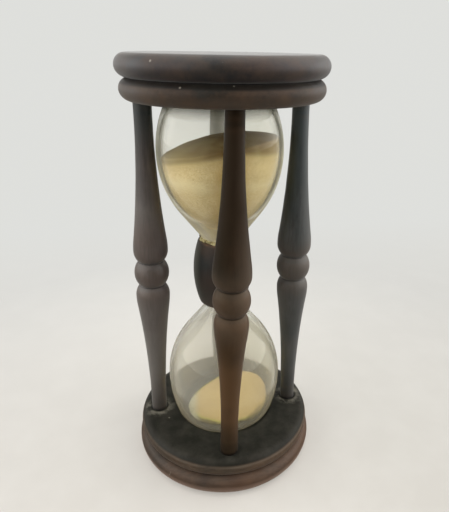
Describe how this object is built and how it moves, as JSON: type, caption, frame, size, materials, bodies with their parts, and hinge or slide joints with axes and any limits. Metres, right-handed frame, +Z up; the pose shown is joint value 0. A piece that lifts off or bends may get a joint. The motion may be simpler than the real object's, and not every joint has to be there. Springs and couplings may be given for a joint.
{
  "type": "hourglass",
  "caption": "Antique wooden sand timer: two glass bulbs joined in a wooden barrel, between doubled round end discs on turned posts.",
  "frame": {"origin": "centre of the base's underside, on the surface it stands on", "axes": "+Z up along the frame's axis; the front post is towards -Y, the right post towards +X"},
  "size_m": [0.1, 0.1, 0.2177],
  "materials": {
    "dark_wood": "old dark stain and wax, satin, rubbed brown on the edges",
    "barrel_wood": "old dark stain, duller than the frame",
    "glass": "blown, slightly green, dusty inside",
    "brass": "dull",
    "putty": "dried, crumbly",
    "felt": "pressed felt",
    "sand": "fine dry sand"
  },
  "bodies": {
    "root": {"bottom_outer_disc": "dark_wood", "bottom_inner_disc": "dark_wood", "top_inner_disc": "dark_wood", "top_outer_disc": "dark_wood", "post_front": "dark_wood", "post_right": "dark_wood", "post_rear": "dark_wood", "post_left": "dark_wood", "lower_bulb": "glass", "upper_bulb": "glass", "neck_barrel": "barrel_wood", "orifice_disc": "brass", "lower_neck_putty": "putty", "upper_neck_putty": "putty", "lower_pad": "felt", "upper_pad": "felt", "lower_sand": "sand", "upper_sand": "sand"}
  },
  "joints": []
}
